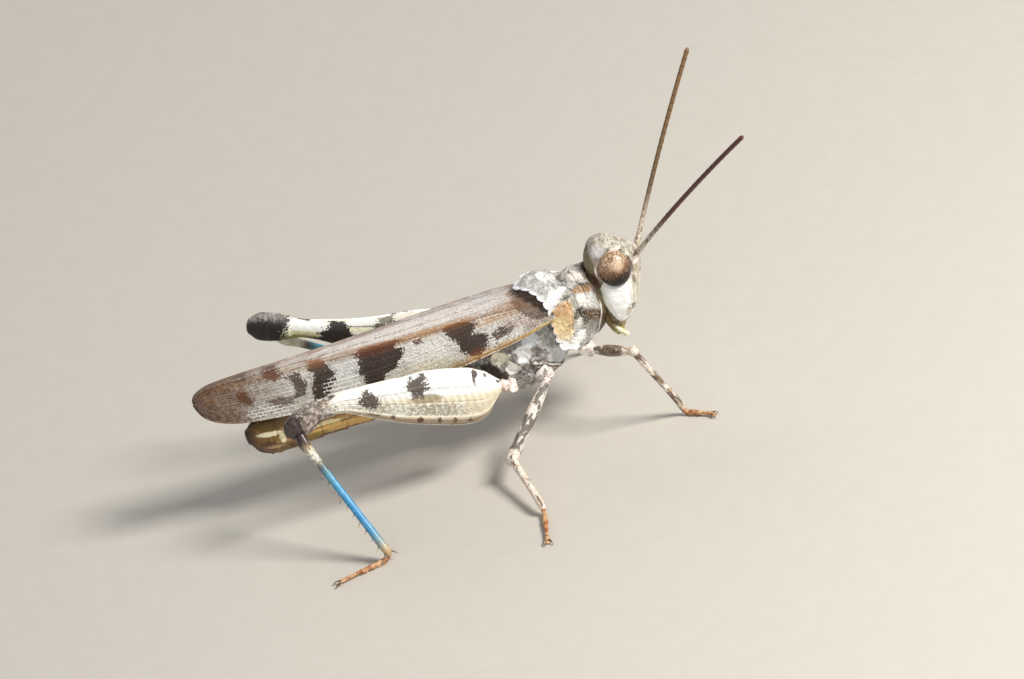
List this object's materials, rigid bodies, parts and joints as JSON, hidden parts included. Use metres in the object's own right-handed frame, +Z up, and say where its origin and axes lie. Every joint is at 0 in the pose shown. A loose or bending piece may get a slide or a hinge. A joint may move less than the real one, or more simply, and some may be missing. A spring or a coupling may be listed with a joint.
{
  "type": "band-winged grasshopper",
  "caption": "Life-size standing grasshopper with folded banded wing covers, short antennae, speckled legs and blue hind shanks, posed still on its feet.",
  "frame": {"origin": "middle of the outer box in plan, at the level of the floor the feet stand on", "axes": "+X towards the head, +Y to the animal's left, +Z up"},
  "size_m": [0.0334, 0.023, 0.0184],
  "materials": {
    "cuticle_grey": "mottled grey-cream cuticle, matt and finely pitted",
    "cuticle_cream": "pale cream cuticle",
    "pronotum_grey": "granulate grey cuticle with white, orange-brown and dark brown patches",
    "wing_grey": "parchment-like pale grey wing cover with fine veins and dark brown bands",
    "eye_brown": "glossy speckled brown compound eye, darker below",
    "antenna_brown": "dark reddish brown segments",
    "mouth_olive": "olive and cream mouthparts",
    "abdomen_ochre": "smooth ochre to yellow-cream abdomen",
    "femur_white": "white and cream hind thigh with grey herringbone and dark blotches",
    "leg_speckled": "whitish leg with dark speckles",
    "tibia_blue": "bright blue hind shank with a cream ring below the knee",
    "tarsus_orange": "orange-tan foot segments"
  },
  "bodies": {
    "root": {"head": "cuticle_grey", "eye_right": "eye_brown", "eye_left": "eye_brown", "antenna_right": "antenna_brown", "antenna_left": "antenna_brown", "mouthparts": "mouth_olive", "palp_right": "mouth_olive", "palp_left": "mouth_olive", "pronotum": "pronotum_grey", "prothorax": "cuticle_grey", "thorax": "cuticle_grey", "abdomen_front": "abdomen_ochre", "abdomen_middle": "abdomen_ochre", "abdomen_rear": "abdomen_ochre", "abdomen_tip": "abdomen_ochre", "cercus_right": "cuticle_cream", "cercus_left": "cuticle_cream", "tegmen_right": "wing_grey", "tegmen_left": "wing_grey", "hindwing_right": "wing_grey", "hindwing_left": "wing_grey", "coxa_front_right": "leg_speckled", "femur_front_right": "leg_speckled", "tibia_front_right": "leg_speckled", "tarsus_front_right": "tarsus_orange", "coxa_front_left": "leg_speckled", "femur_front_left": "leg_speckled", "tibia_front_left": "leg_speckled", "tarsus_front_left": "tarsus_orange", "coxa_middle_right": "leg_speckled", "femur_middle_right": "leg_speckled", "tibia_middle_right": "leg_speckled", "tarsus_middle_right": "tarsus_orange", "coxa_middle_left": "leg_speckled", "femur_middle_left": "leg_speckled", "tibia_middle_left": "leg_speckled", "tarsus_middle_left": "tarsus_orange", "coxa_hind_right": "leg_speckled", "femur_hind_right": "femur_white", "tibia_hind_right": "tibia_blue", "tarsus_hind_right": "tarsus_orange", "coxa_hind_left": "leg_speckled", "femur_hind_left": "femur_white", "tibia_hind_left": "tibia_blue", "tarsus_hind_left": "tarsus_orange"}
  },
  "joints": []
}
